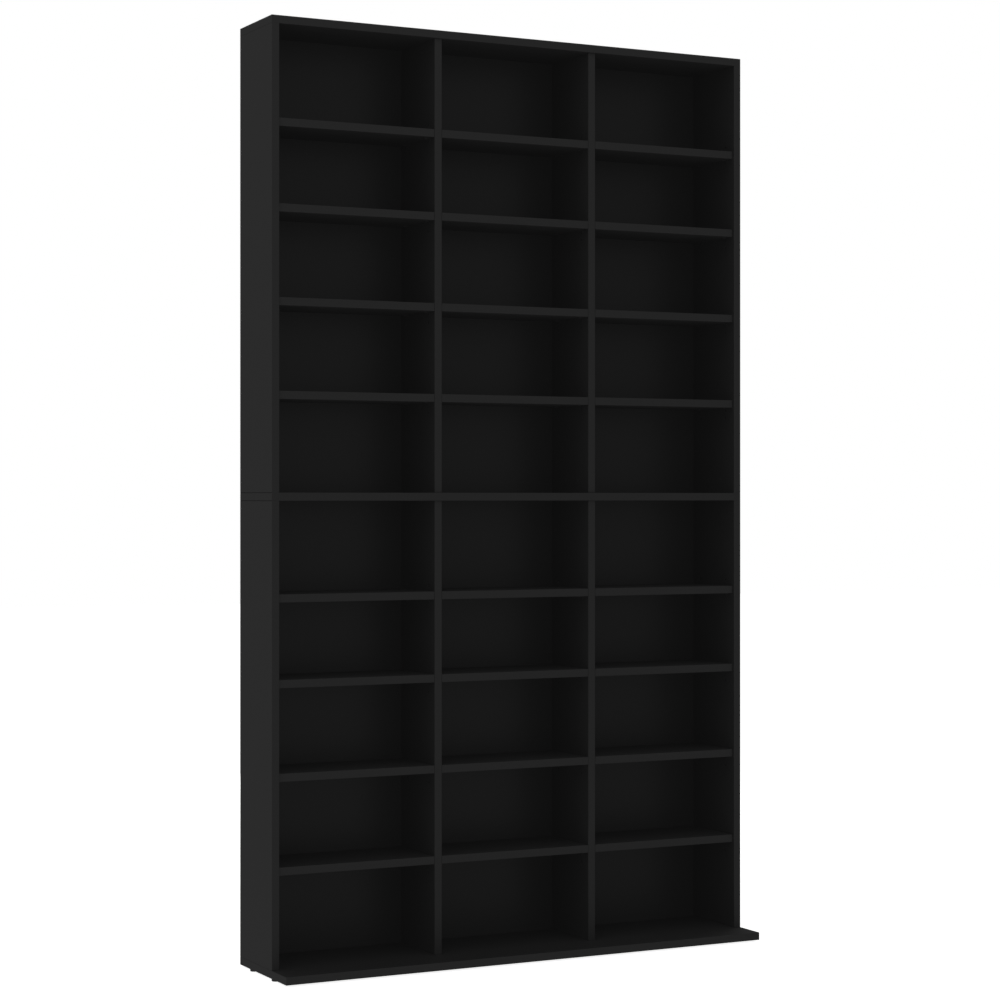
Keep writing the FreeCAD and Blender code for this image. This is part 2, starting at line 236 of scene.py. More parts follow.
# %% Lamps
LAMPS = (  # name, place, aim and size in metres, and watts
    ("overhead_lamp", (-0.3, -1.6, 4.2), (0, 0, roof / 2), (3.0, 2.4), 9),
    ("rear_lamp", (0.45, 3.2, 1.3), (0.45, 0, 1.3), (1.4, 2.4), 28),
    ("right_lamp", (2.6, 0.9, 1.3), (0, 0.9, 1.3), (1.4, 2.4), 6),
)

for name, place, aim, size, watts in LAMPS:
    lamp_data = bpy.data.lights.new(name, "AREA")
    lamp_data.shape = "RECTANGLE"
    lamp_data.size, lamp_data.size_y = size
    lamp_data.energy = watts
    lamp = bpy.data.objects.new(name, lamp_data)
    lamp.location = place
    lamp.rotation_euler = (Vector(aim) - lamp.location).to_track_quat("-Z", "Y").to_euler()
    lamp.visible_camera = False
    bpy.context.scene.collection.objects.link(lamp)
    print(name, "at", place)

# %% [markdown]
# ## Floor
# The photograph's floor is as white as the sweep and carries no shadow. A painted floor would turn grey
# round the cabinet, and a bright one would light the boards from below. So it is a sheet of opal acrylic,
# lit from underneath, that only the camera sees.

# %% Floor
FLOOR_SIZE = 30.0  # metres
FLOOR_GLOW = 0.88  # strength of the light that comes through the sheet
FLOOR_CLOUD_MM = 900.0  # slow change of tone over the sheet


def opal_acrylic():
    """Cast opal acrylic: an even milky glow, with no highlight to give the sheet away."""
    material, tree, place = start_material("opal_acrylic_floor")
    tint = mottled(tree, place, FLOOR_CLOUD_MM, 2.0, "#f0f0ef", "#f5f5f4")[1]
    return finish_material(material, tree, {
        "Base Color": tint, "Roughness": 0.7, "Specular IOR Level": 0.0,
        "Emission Color": linear("#ffffff"), "Emission Strength": FLOOR_GLOW})


floor_mesh = bpy.data.meshes.new("floor")
bm = bmesh.new()
bmesh.ops.create_grid(bm, x_segments=1, y_segments=1, size=FLOOR_SIZE / 2)
bm.to_mesh(floor_mesh)
bm.free()
floor = bpy.data.objects.new("floor", floor_mesh)
bpy.context.scene.collection.objects.link(floor)
floor.visible_diffuse = floor.visible_glossy = floor.visible_shadow = False
floor_mesh.materials.append(opal_acrylic())

# %% [markdown]
# ## Melamine-faced chipboard
# A board's two faces carry a thin black film, its front edge a glued band, and the rear edge that no one
# sees stays raw chipboard. Film and band could be pieces of their own, but the band is only half a
# millimetre thick. So a board stays one piece, and its material tells the surfaces apart by how near a
# point lies to the planes of the board's faces.

# %% Where a surface lies on its board
def near_planes(tree, xyz, planes, reach_mm):
    """1 within reach of any of the planes, each given as an axis and a place along it."""
    mask = None
    for axis, place in planes:
        hit = add_node(tree, "Math", {0: xyz.outputs[axis], 1: place, 2: reach_mm * MM},
                       operation="COMPARE")
        if mask is not None:
            hit = add_node(tree, "Math", {0: mask.outputs[0], 1: hit.outputs[0]}, operation="MAXIMUM")
        mask = hit
    return mask.outputs[0]


print(len(shelf_names), "shelves wear the film")

# %% [markdown]
# Film and band come from different rolls, so their blacks are never quite the same, and the glue between
# them shows as a dark hairline. A picture of the line would fit one size of board only, so it is found
# from its plane, just behind the front edge.

# %% Film, edge band and hairline
BAND_MM = 0.5  # thickness of the edge band
BAND_JOINT_MM = 0.15  # half the hairline where the band meets the film
CLOUD_MM = 140.0  # slow change of tone over a board


def banded_film(tree, place, xyz, low, high, banded_ends):
    """The colour of the film, with a band on the front edge and, where asked for, on both ends."""
    bands = [("Y", low.y)]
    joints = [("Y", low.y + BAND_MM * MM)]
    if banded_ends:
        bands += [("X", low.x), ("X", high.x)]
        joints += [("X", low.x + BAND_MM * MM), ("X", high.x - BAND_MM * MM)]
    band = near_planes(tree, xyz, bands, BAND_MM)
    joint = near_planes(tree, xyz, joints, BAND_JOINT_MM)
    film = mottled(tree, place, CLOUD_MM, 3.0, "#1c1c1c", "#1e1e1e")[1]
    for mask, black in ((band, "#1d1d1d"), (joint, "#141414")):
        film = add_node(tree, "Mix", {FACTOR: mask, MIX_A: film, MIX_B: linear(black)},
                        data_type="RGBA").outputs[MIXED]
    return film


print("the hairline is", 2 * BAND_JOINT_MM, "mm wide")

# %% [markdown]
# On the cabinet's two sides a thin dark line runs above and below the middle board, because no light
# comes out of a joint. At the base and the roof it hardly shows. With real gaps the boards would no
# longer stand on each other, so the lines are painted shade, laid into the film on the outer faces only.

# %% Painted shade where two boards meet
JOINT_SHADE_MM = 0.8  # half the line of painted shade at a joint between two boards
OUTSIDE_MM = 0.35  # how near the cabinet's outer side the painted shade of a joint shows
TIGHT_SHARE = 0.2  # how strongly the painted shade of a tight joint shows


def painted_joint_shade(tree, xyz):
    """How much painted shade a joint between two boards lays on a point of the cabinet's outer sides."""
    loose = near_planes(tree, xyz, [("Z", height) for height in open_joints], JOINT_SHADE_MM)
    tight = near_planes(tree, xyz, [("Z", height) for height in tight_joints], JOINT_SHADE_MM)
    level = add_node(tree, "Math", {0: tight, 1: TIGHT_SHARE, 2: loose}, operation="MULTIPLY_ADD")
    outside = near_planes(tree, xyz, [("X", case_left), ("X", case_right)], OUTSIDE_MM)
    return add_node(tree, "Math", {0: level.outputs[0], 1: outside}, operation="MULTIPLY").outputs[0]


print("joint lines at heights", [round(height / MM) for height in open_joints + tight_joints], "mm")

# %% [markdown]
# The rear edge is sawn chipboard: pale chips that the press laid flat, with pores between them that lie in
# shade. A plain brown would look like cardboard, so cells of different browns play the chips and a fine
# noise plays the pores, both squeezed across the board's thickness. The pores are sunk a little and their
# shade is painted dark brown.

# %% Raw chipboard
RAW_MM = 0.1  # how near its plane the bare edge shows
REARWARDS = 0.5  # how much at least a surface of that edge faces the rear
CHIP_MM = 4.0  # length of a wood chip in a raw edge
CHIP_FLATNESS = 2.6  # a pressed chip is this many times as long as it is thick
PORE_MM = 1.6  # gaps between the chips
PORE_FROM, PORE_TO = 0.54, 0.66  # heights of the noise at which a gap opens, and its painted shade is darkest
LYING = (1, 1, CHIP_FLATNESS)  # a lying board is thin along Z
UPRIGHT = (CHIP_FLATNESS, 1, 1)  # and an upright one along X


def rear_edge(tree, xyz, rear):
    """1 on what lies in the plane of the rear edge and faces the rear."""
    facing = add_node(tree, "SeparateXYZ", {0: add_node(tree, "TexCoord").outputs["Normal"]})
    turned_back = add_node(tree, "Math", {0: facing.outputs["Y"], 1: REARWARDS}, operation="GREATER_THAN")
    near = near_planes(tree, xyz, [("Y", rear)], RAW_MM)
    return add_node(tree, "Math", {0: near, 1: turned_back.outputs[0]}, operation="MULTIPLY").outputs[0]


def pressed_chips(tree, place, pressed):
    """The colour of sawn chipboard, with painted shade in the pores between its chips, and how much of a
    point is pore.
    """
    flat = add_node(tree, "Mapping", {"Vector": place, "Scale": pressed}).outputs[0]
    chips = add_node(tree, "TexVoronoi", {"Vector": flat, "Scale": repeats(CHIP_MM)})
    pores = add_node(tree, "TexNoise", {"Vector": flat, "Scale": repeats(PORE_MM), "Detail": 2.0})
    wood = add_node(tree, "Mix", {FACTOR: chips.outputs["Color"], MIX_A: linear("#927048"),
                                  MIX_B: linear("#b99768")}, data_type="RGBA")
    gaps_and_shade = add_node(tree, "MapRange", {"Value": pores.outputs["Fac"], "From Min": PORE_FROM,
                                       "From Max": PORE_TO})
    # painted shade: the pores between the chips are given a dark brown
    gap_shaded_wood = add_node(tree, "Mix", {FACTOR: gaps_and_shade.outputs[0], MIX_A: wood.outputs[MIXED],
                                    MIX_B: linear("#5c4429")}, data_type="RGBA")
    return gap_shaded_wood.outputs[MIXED], gaps_and_shade.outputs[0]


print("a chip is %.1f mm thick" % (CHIP_MM / CHIP_FLATNESS))

# %% [markdown]
# Film, lines and raw edge now come together. All boards could share one material, but their front and
# rear edges lie in different planes, so each kind of board gets its own. The film is melamine resin,
# cured against an etched plate. That gives the eye an even satin black, which greys softly where light
# grazes it and never mirrors, because the pearl emboss breaks each reflection up.

# %% Melamine board
RESIN_IOR = 1.5  # of melamine, lacquer and polyethylene alike
FILM_GLOSS = 0.47  # specular level, matched to the fronts and the tops in the photograph
FILM_SMOOTH, FILM_DULL = 0.50, 0.62  # roughness in the hollows and on the bumps of the emboss
JOINT_SHADE_DULLS = 0.5  # roughness that a joint's line of painted shade adds
CHIPS_DULL = 0.3  # roughness that sawn chips add
EMBOSS_MM = 3.0  # the real emboss is about 0.6 mm; it is drawn coarser so that it can show
EMBOSS_DEEP_MM = 0.1
EMBOSS_STRENGTH = 0.25


def melamine_board(name, node, banded_ends, pressed):
    """The material of boards that share this node's front and rear edges, and lie pressed this way."""
    low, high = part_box(node)
    material, tree, place = start_material(name)
    xyz = add_node(tree, "SeparateXYZ", {0: place})
    film = banded_film(tree, place, xyz, low, high, banded_ends)
    joint_shade = painted_joint_shade(tree, xyz)
    raw = rear_edge(tree, xyz, high.y)
    chips, pores = pressed_chips(tree, place, pressed)
    # painted shade: near-black laid into the film along the joints between boards, on the outer sides
    shaded_film = add_node(tree, "Mix", {FACTOR: joint_shade, MIX_A: film, MIX_B: linear("#050505")}, data_type="RGBA")
    colour = add_node(tree, "Mix", {FACTOR: raw, MIX_A: shaded_film.outputs[MIXED], MIX_B: chips},
                      data_type="RGBA")
    emboss = add_node(tree, "TexNoise", {"Vector": place, "Scale": repeats(EMBOSS_MM), "Detail": 2.0,
                                         "Roughness": 0.6})
    sheen = add_node(tree, "MapRange", {"Value": emboss.outputs["Fac"], "To Min": FILM_SMOOTH,
                                        "To Max": FILM_DULL})
    dull = add_node(tree, "Math", {0: joint_shade, 1: JOINT_SHADE_DULLS, 2: sheen.outputs[0]}, operation="MULTIPLY_ADD")
    rough = add_node(tree, "Math", {0: raw, 1: CHIPS_DULL, 2: dull.outputs[0]}, operation="MULTIPLY_ADD",
                     use_clamp=True)
    sunk = add_node(tree, "Math", {0: pores, 1: raw}, operation="MULTIPLY")
    height = add_node(tree, "Math", {0: emboss.outputs["Fac"], 1: sunk.outputs[0]}, operation="SUBTRACT")
    relief = add_node(tree, "Bump", {"Height": height.outputs[0], "Strength": EMBOSS_STRENGTH,
                                     "Distance": EMBOSS_DEEP_MM * MM})
    return finish_material(material, tree, {
        "Base Color": colour.outputs[MIXED], "Roughness": rough.outputs[0], "IOR": RESIN_IOR,
        "Specular IOR Level": FILM_GLOSS, "Normal": relief.outputs[0]})


BOARD_KINDS = (  # material, a board of that kind, banded ends, how it is pressed, all its boards
    ("black_melamine_base", "base_board", True, LYING, ["base_board"]),
    ("black_melamine_long", "top_board", True, LYING, ["middle_board", "top_board"]),
    ("black_melamine_side", side_names[0], False, UPRIGHT, side_names),
    ("black_melamine_divider", divider_names[0], False, UPRIGHT, divider_names),
    ("black_melamine_shelf", shelf_names[0], False, LYING, shelf_names),
)
for name, like, banded_ends, pressed, boards in BOARD_KINDS:
    give_finish(melamine_board(name, like, banded_ends, pressed), *boards)

# %% [markdown]
# ## Hardboard backs
# A back panel is three millimetres of pressed wood fibre, lacquered black in front and left brown behind.
# The lacquer is too thin to be a piece of its own, so the material changes just behind the front face.
# The brown side shows where fibres settled in clumps, as soft, darker clouds.

# %% Raw side of the hardboard
CLUMP_MM = 24.0  # width of a clump of fibres
CLUMP_FROM, CLUMP_TO = 0.3, 0.7  # heights of the noise between which the brown turns paler


def felted_fibre(tree, place, fibre):
    """The brown of raw hardboard, fine fibres in clouds of two browns."""
    clump = add_node(tree, "TexNoise", {"Vector": place, "Scale": repeats(CLUMP_MM), "Detail": 4.0})
    cloudy = add_node(tree, "MapRange", {"Value": clump.outputs["Fac"], "From Min": CLUMP_FROM,
                                         "From Max": CLUMP_TO})
    dark, pale = (add_node(tree, "Mix", {FACTOR: fibre, MIX_A: linear(pit), MIX_B: linear(hair)},
                           data_type="RGBA").outputs[MIXED]
                  for pit, hair in (("#59402a", "#846545"), ("#62472f", "#90704e")))
    return add_node(tree, "Mix", {FACTOR: cloudy.outputs[0], MIX_A: dark, MIX_B: pale},
                    data_type="RGBA").outputs[MIXED]


print("clouds of fibre are about", CLUMP_MM, "mm wide")

# %% [markdown]
# The lacquer is rolled on and lies smoother than the boards' film. It gives the eye a slightly paler
# black that mirrors more sharply: that is why the photographed backs darken towards their right-hand
# walls.

# %% Hardboard back
LACQUER_MM = 0.1  # how deep the black lacquer goes
FIBRE_MM = 1.2  # drawn coarser than the real felted fibres, which are about 0.2 mm
FIBRE_DEEP_MM = 0.1
FIBRE_STRENGTH = 0.15
PANEL_CLOUD_MM = 90.0
LACQUER_GLOSS = 0.245  # specular level, matched to the backs in the photograph
LACQUER_ROUGH, FIBRE_ROUGH = 0.36, 0.85  # roughness of the lacquer and of the bare fibre


def hardboard_back():
    """Black lacquer in front, raw brown fibre behind and on the edges."""
    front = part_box(back_names[0])[0].y
    material, tree, place = start_material("black_lacquered_hardboard")
    xyz = add_node(tree, "SeparateXYZ", {0: place})
    bare = add_node(tree, "Math", {0: xyz.outputs["Y"], 1: front + LACQUER_MM * MM},
                    operation="GREATER_THAN")
    lacquer = mottled(tree, place, PANEL_CLOUD_MM, 3.0, "#232323", "#252525")[1]
    fibre = add_node(tree, "TexNoise", {"Vector": place, "Scale": repeats(FIBRE_MM), "Detail": 5.0})
    felt = felted_fibre(tree, place, fibre.outputs["Fac"])
    colour = add_node(tree, "Mix", {FACTOR: bare.outputs[0], MIX_A: lacquer, MIX_B: felt}, data_type="RGBA")
    rough = add_node(tree, "MapRange", {"Value": bare.outputs[0], "To Min": LACQUER_ROUGH,
                                        "To Max": FIBRE_ROUGH})
    relief = add_node(tree, "Bump", {"Height": fibre.outputs["Fac"], "Strength": FIBRE_STRENGTH,
                                     "Distance": FIBRE_DEEP_MM * MM})
    return finish_material(material, tree, {
        "Base Color": colour.outputs[MIXED], "Roughness": rough.outputs[0], "IOR": RESIN_IOR,
        "Specular IOR Level": LACQUER_GLOSS, "Normal": relief.outputs[0]})


give_finish(hardboard_back(), *back_names)

# %% [markdown]
# ## Finishes of the fittings
# Screws, bolts and angles are zinc-plated steel, the cam housings are cast zinc, the nails are drawn
# wire, caps and glides are moulded polyethylene, and the shelf pins are stamped steel under a black coat.
# One flat colour each would look like paint, so the tint, the roughness and the relief all follow one
# grain, of the size that each process leaves.

# %% Metals and black skins
METAL = (4.0, 0.1, {"Metallic": 1.0})  # detail of the grain, strength of its relief, main shader
RESIN = (3.0, 0.3, {"IOR": RESIN_IOR})


def grained_skin(name, dark, light, grain_mm, smooth, dull, depth_mm, body):
    """A metal or a black skin whose tint, roughness and relief follow grain of this size and depth."""
    material, tree, place = start_material(name)
    detail, strength, own = body
    grain, tint = mottled(tree, place, grain_mm, detail, dark, light)
    rough = add_node(tree, "MapRange", {"Value": grain, "To Min": smooth, "To Max": dull})
    relief = add_node(tree, "Bump", {"Height": grain, "Strength": strength, "Distance": depth_mm * MM})
    return finish_material(material, tree, {"Base Color": tint, "Roughness": rough.outputs[0],
                                            "Normal": relief.outputs[0], **own})


SKINS = (  # name, darkest and lightest tint, grain in mm, least and most rough, depth in mm, body
    # Electroplated: a bright, faintly blue silver whose highlights are a little cloudy.
    ("zinc_plated_steel", "#b4b9be", "#c9ced2", 6.0, 0.28, 0.42, 0.05, METAL),
    # Cast under pressure: a flat mid grey, because the skin from the mould scatters the light.
    ("die_cast_zinc", "#9a9da0", "#b2b4b6", 2.0, 0.45, 0.60, 0.05, METAL),
    # Drawn through a die: neutral and bright, with the sharpest highlights of the three.
    ("drawn_steel_wire", "#a5a6a6", "#bcbdbd", 3.0, 0.25, 0.38, 0.05, METAL),
    # Powder-coated: the glossiest black here, with a faint orange peel.
    ("black_coated_steel", "#161616", "#1a1a1a", 1.5, 0.40, 0.50, 0.02, RESIN),
    # Moulded in a sparked mould: dull, hard to tell from the film. The real grain is about 0.1 mm; on
    # caps and glides it is drawn coarser.
    ("black_polyethylene_cap", "#1a1a1a", "#1e1e1e", 0.8, 0.50, 0.62, 0.03, RESIN),
    # Moulded more roughly, as a part that no one looks at: a little more uneven.
    ("black_polyethylene_glide", "#191919", "#1f1f1f", 0.8, 0.45, 0.60, 0.04, RESIN),
)
zinc_plated_steel, zinc_casting, drawn_steel, black_coat, black_cap, black_glide = (
    grained_skin(*skin) for skin in SKINS)
give_finish(zinc_plated_steel, "wall_angles")
give_finish(zinc_casting, "cam_housings")

# %% [markdown]
# ## Beech
# A dowel is a fluted stick of steamed beech, turned and left bare. It gives the eye a warm, dull, pale
# brown, straight-grained and flecked with short rays. Stretching the noise along the stick gives the
# grain, and a second, shorter noise gives the flecks.

# %% Beech dowel finish
GRAIN_MM = 0.7  # width of the grain
GRAIN_DEEP_MM, GRAIN_STRENGTH = 0.05, 0.3
GRAIN_STRETCH = 0.06  # the grain is this share as dense along the stick
FLECK_MM = 1.6
FLECK_FROM, FLECK_TO = 0.55, 0.7  # heights of the noise at which a ray begins, and is darkest
BARE_ROUGH = 0.65  # roughness of turned wood with no finish


def fluted_beech():
    """Steamed beech with its grain along the stick and its rays as darker flecks."""
    material, tree, place = start_material("fluted_beech")
    stretched = add_node(tree, "Mapping", {"Vector": place, "Scale": (1, 1, GRAIN_STRETCH)})
    grain, wood = mottled(tree, stretched.outputs[0], GRAIN_MM, 3.0, "#c79a68", "#dfbb8c")
    fleck = add_node(tree, "TexNoise", {"Vector": place, "Scale": repeats(FLECK_MM), "Detail": 1.0})
    rays = add_node(tree, "MapRange", {"Value": fleck.outputs["Fac"], "From Min": FLECK_FROM,
                                       "From Max": FLECK_TO})
    tint = add_node(tree, "Mix", {FACTOR: rays.outputs[0], MIX_A: wood, MIX_B: linear("#a87948")},
                    data_type="RGBA")
    relief = add_node(tree, "Bump", {"Height": grain, "Strength": GRAIN_STRENGTH,
                                     "Distance": GRAIN_DEEP_MM * MM})
    return finish_material(material, tree, {"Base Color": tint.outputs[MIXED], "Roughness": BARE_ROUGH,
                                            "Normal": relief.outputs[0]})


beech = fluted_beech()

# %% [markdown]
# ## Finding the fittings
# Pins, caps, glides and nails come in dozens. Their places could be counted out again from spacings, but
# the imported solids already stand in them: each node is split into its separate solids, and the box round
# each one says where a fitting goes.

# %% Separate solids of a node
WELD_MM = 0.002  # corners nearer than this are one corner


def solids_of(name):
    """The lowest and highest corners of each separate solid in a CAD node, sorted by place."""
    bm = bmesh.new()
    bm.from_mesh(nodes[name].data)
    bmesh.ops.remove_doubles(bm, verts=bm.verts, dist=WELD_MM * MM)
    boxes = []
    seen = set()
    for start in bm.verts:
        if start in seen:
            continue
        seen.add(start)
        reached = [start]
        for vert in reached:
            for edge in vert.link_edges:
                other = edge.other_vert(vert)
                if other not in seen:
                    seen.add(other)
                    reached.append(other)
        low = Vector([min(vert.co[axis] for vert in reached) for axis in range(3)])
        high = Vector([max(vert.co[axis] for vert in reached) for axis in range(3)])
        boxes.append((low, high))
    bm.free()
    return sorted(boxes, key=lambda box: [round(value / MM) for value in box[0]])


for name in ("top_screw_caps", "cam_caps", "glides", "back_nails", "wall_angle_screws"):
    print(name, "holds", len(solids_of(name)), "solids")

# %% [markdown]
# ## Turning
# Most fittings are round. A ready-made cylinder has no crown, neck or recess, so each profile is drawn as
# a line of points and spun about an axis, as on a lathe, with the small roundings that catch the light.

# %% Turned shapes
def turned(profile, steps, ring=False):
    """Spin (radius, height) points in millimetres about Z. A ring's profile is a closed loop."""
    bm = bmesh.new()
    verts = [bm.verts.new((radius * MM, 0, height * MM)) for radius, height in profile]
    pairs = list(zip(verts, verts[1:])) + ([(verts[-1], verts[0])] if ring else [])
    edges = [bm.edges.new(pair) for pair in pairs]
    bmesh.ops.spin(bm, geom=verts + edges, cent=(0, 0, 0), axis=(0, 0, 1), angle=math.tau,
                   steps=steps, use_merge=True)
    bmesh.ops.remove_doubles(bm, verts=bm.verts, dist=WELD_MM * MM)
    return bm


def dome(radius, height, count):
    """Points of a low dome from its rim to its crown, standing on height zero."""
    turns = [math.pi / 2 * k / count for k in range(count + 1)]
    return [(radius * math.cos(turn), height * math.sin(turn)) for turn in turns]


print("a dome of three steps:", [(round(r, 2), round(h, 2)) for r, h in dome(1, 1, 3)])

# %% [markdown]
# ## Repeating and placing
# Dozens of tiny objects would be a burden, so one fitting, modelled at height zero, is copied to all its
# places in one mesh. It stands on the foot of its solid's box, or is turned over and hangs from its top.

# %% Copies and finished pieces
SHARP_ANGLE = 35  # degrees; a crease sharper than this stays an edge
CASE_BODY = "case"
HALF_TURN = Matrix.Rotation(math.pi, 4, "X")


def middle(box):
    """The point halfway between a box's two corners."""
    return (box[0] + box[1]) / 2


def standing(boxes):
    """A place on the foot of each box."""
    return [Matrix.Translation((middle(box).x, middle(box).y, box[0].z)) for box in boxes]


def hanging(boxes):
    """A place under the top of each box, for a fitting that is turned over."""
    return [Matrix.Translation((middle(box).x, middle(box).y, box[1].z)) @ HALF_TURN for box in boxes]


def copies(one, places, into=None):
    """Copies of a bmesh at these places, in a new bmesh or in a given one. The first one is used up."""
    pattern = bpy.data.meshes.new("pattern")
    one.to_mesh(pattern)
    one.free()
    bm = into or bmesh.new()
    for place in places:
        count = len(bm.verts)
        bm.from_mesh(pattern)
        bm.verts.ensure_lookup_table()
        bmesh.ops.transform(bm, matrix=place, verts=bm.verts[count:])
    bpy.data.meshes.remove(pattern)
    return bm


def finished_piece(name, bm, material, node):
    """Turn a bmesh into a piece that rides on the case and stands for a CAD node."""
    bmesh.ops.recalc_face_normals(bm, faces=bm.faces)
    mesh = bpy.data.meshes.new(name)
    bm.to_mesh(mesh)
    bm.free()
    mesh.materials.append(material)
    mesh.polygons.foreach_set("use_smooth", [True] * len(mesh.polygons))
    mesh.set_sharp_from_angle(angle=math.radians(SHARP_ANGLE))
    piece = bpy.data.objects.new(name, mesh)
    bpy.context.scene.collection.objects.link(piece)
    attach(piece, CASE_BODY)
    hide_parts(node)
    print(name, "faces:", len(mesh.polygons))


print("all fittings ride on the body", CASE_BODY)

# %% [markdown]
# ## Shelf pins
# Each shelf lies loose on four stamped pins. A pin is a round peg in the board, a small plate against it
# and a tongue that carries the shelf. Plain blocks would look wrong, because a press leaves every bend
# and corner round. So the outline is drawn from the side, extruded to its width, and then bevelled where
# the metal is bent or cut.

# %% One shelf pin
PIN_WIDE, PIN_OUT, PIN_HIGH = 8.0, 9.0, 9.0  # mm: width, reach of the tongue, height of the plate
PIN_TONGUE, PIN_PLATE = 1.6, 1.2  # mm: thicknesses
PIN_CORNER, PIN_BEND = 1.6, 0.7  # mm: radii of the cut corners and of the bend
PEG_RADIUS, PEG_LENGTH, PEG_DROP = 2.5, 7.0, 4.5  # mm: the peg, and its axis below the tongue's top
PEG_SUNK = 0.6  # mm that the peg runs into its plate
PEG_TIP = 0.15  # mm, how near the peg's end an edge belongs to its tip
PEG_SIDES, CORNER_STEPS, BEND_STEPS = 14, 3, 2  # faces round the peg and across the roundings
PARALLEL = 0.99  # share of an edge that has to lie along its axis


def bevel(bm, edges, radius_mm, segments):
    """Round some edges off."""
    bmesh.ops.bevel(bm, geom=edges, offset=radius_mm * MM, offset_type="OFFSET", affect="EDGES",
                    segments=segments, profile=0.5, material=-1, clamp_overlap=True)


def edges_along(bm, axis, test):
    """The edges that run along one axis and whose middle passes a test, given in millimetres."""
    found = []
    for edge in bm.edges:
        run = edge.verts[1].co - edge.verts[0].co
        if abs(run[axis]) > PARALLEL * run.length and test((edge.verts[0].co + edge.verts[1].co) / 2 / MM):
            found.append(edge)
    return found


def one_shelf_pin():
    """A pin for a board's face at x = 0, its tongue towards +X with its top at z = 0."""
    bm = bmesh.new()
    outline = [(0, 0), (PIN_OUT, 0), (PIN_OUT, -PIN_TONGUE), (PIN_PLATE, -PIN_TONGUE),
               (PIN_PLATE, -PIN_HIGH), (0, -PIN_HIGH)]
    side = bm.faces.new([bm.verts.new((x * MM, -PIN_WIDE / 2 * MM, z * MM)) for x, z in outline])
    grown = bmesh.ops.extrude_face_region(bm, geom=[side])["geom"]
    bmesh.ops.translate(bm, vec=(0, PIN_WIDE * MM, 0),
                        verts=[item for item in grown if isinstance(item, bmesh.types.BMVert)])
    bevel(bm, edges_along(bm, 2, lambda at: at.x > PIN_OUT - PIN_TONGUE), PIN_CORNER, CORNER_STEPS)
    bevel(bm, edges_along(bm, 0, lambda at: at.z < PIN_TONGUE - PIN_HIGH), PIN_CORNER, CORNER_STEPS)
    bevel(bm, edges_along(bm, 1, lambda at: at.x < PIN_OUT / 2 and at.z > -PIN_HIGH / 2), PIN_BEND,
          BEND_STEPS)
    turn = Matrix.Translation(((PEG_SUNK - PEG_LENGTH) / 2 * MM, 0, -PEG_DROP * MM)) @ Matrix.Rotation(
        math.pi / 2, 4, "Y")
    bmesh.ops.create_cone(bm, cap_ends=True, segments=PEG_SIDES, radius1=PEG_RADIUS * MM,
                          radius2=PEG_RADIUS * MM, depth=(PEG_LENGTH + PEG_SUNK) * MM, matrix=turn)
    tip = [edge for edge in bm.edges if all(vert.co.x < (PEG_TIP - PEG_LENGTH) * MM for vert in edge.verts)]
    bevel(bm, tip, PIN_BEND, BEND_STEPS)
    return bm


pin = one_shelf_pin()
print("one pin:", len(pin.verts), "points and", len(pin.faces), "faces")
pin.free()

# %% [markdown]
# The pins go under both ends of each shelf, in the two rows where their solids stand. Their ninety-six
# places follow from the shelves' undersides and the verticals' faces, so none is typed in.

# %% All the shelf pins
ABOUT_FACE = Matrix.Rotation(math.pi, 4, "Z")  # turns a pin for a left face into one for a right face


def pin_places(tier):
    """Four places under each shelf of one half of the cabinet."""
    low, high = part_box(tier + "_shelf_pins")
    rows = (low.y + PIN_WIDE / 2 * MM, high.y - PIN_WIDE / 2 * MM)
    places = []
    for index, column in enumerate(COLUMNS):
        left_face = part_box("%s_%s" % (tier, UPRIGHTS[index]))[1].x
        right_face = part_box("%s_%s" % (tier, UPRIGHTS[index + 1]))[0].x
        for level in range(SHELVES_IN_COLUMN):
            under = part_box("%s_%s_shelf_%d" % (tier, column, level + 1))[0].z
            for row in rows:
                places.append(Matrix.Translation((left_face, row, under)))
                places.append(Matrix.Translation((right_face, row, under)) @ ABOUT_FACE)
    return places


for tier in TIERS:
    finished_piece("stamped_pins_" + tier, copies(one_shelf_pin(), pin_places(tier)), black_coat,
                   tier + "_shelf_pins")

# %% [markdown]
# ## Caps
# A low domed cap hides each screw head on the roof. A flat disc would look like a hole, so the profile is
# a quarter of an ellipse on a short straight rim, with a nib below that holds the cap in its socket.

# %% Caps on the roof
CAP_RIM = 0.3  # mm, straight part of the rim
CAP_ARCS = 5  # steps from the rim to the crown
CAP_STEPS = 28
ROOF_NIB_RADIUS = 1.2  # mm


def domed_cap(radius, thick, nib_radius, nib_length):
    """A cap that stands on height zero, its nib below."""
    crown = [(r, CAP_RIM + h) for r, h in dome(radius, thick - CAP_RIM, CAP_ARCS)]
    return turned([(0, -nib_length), (nib_radius, -nib_length), (nib_radius, 0), (radius, 0)] + crown,
                  CAP_STEPS)


boxes = solids_of("top_screw_caps")
low, high = boxes[0]
one = domed_cap((high.x - low.x) / 2 / MM, (high.z - roof) / MM, ROOF_NIB_RADIUS, (roof - low.z) / MM)
places = [Matrix.Translation((middle(box).x, middle(box).y, roof)) for box in boxes]
finished_piece("roof_caps", copies(one, places), black_cap, "top_screw_caps")

# %% [markdown]
# A wider cap of the same form covers each cam housing. These caps lie upright on the verticals, each on
# the face that looks towards the middle of the cabinet, so the turned cap is laid on its side.

# %% Caps over the cams
CAM_NIB_RADIUS = 0.6  # mm, as wide as the slot in the housing
CAM_CAP_THICK = 0.8  # mm

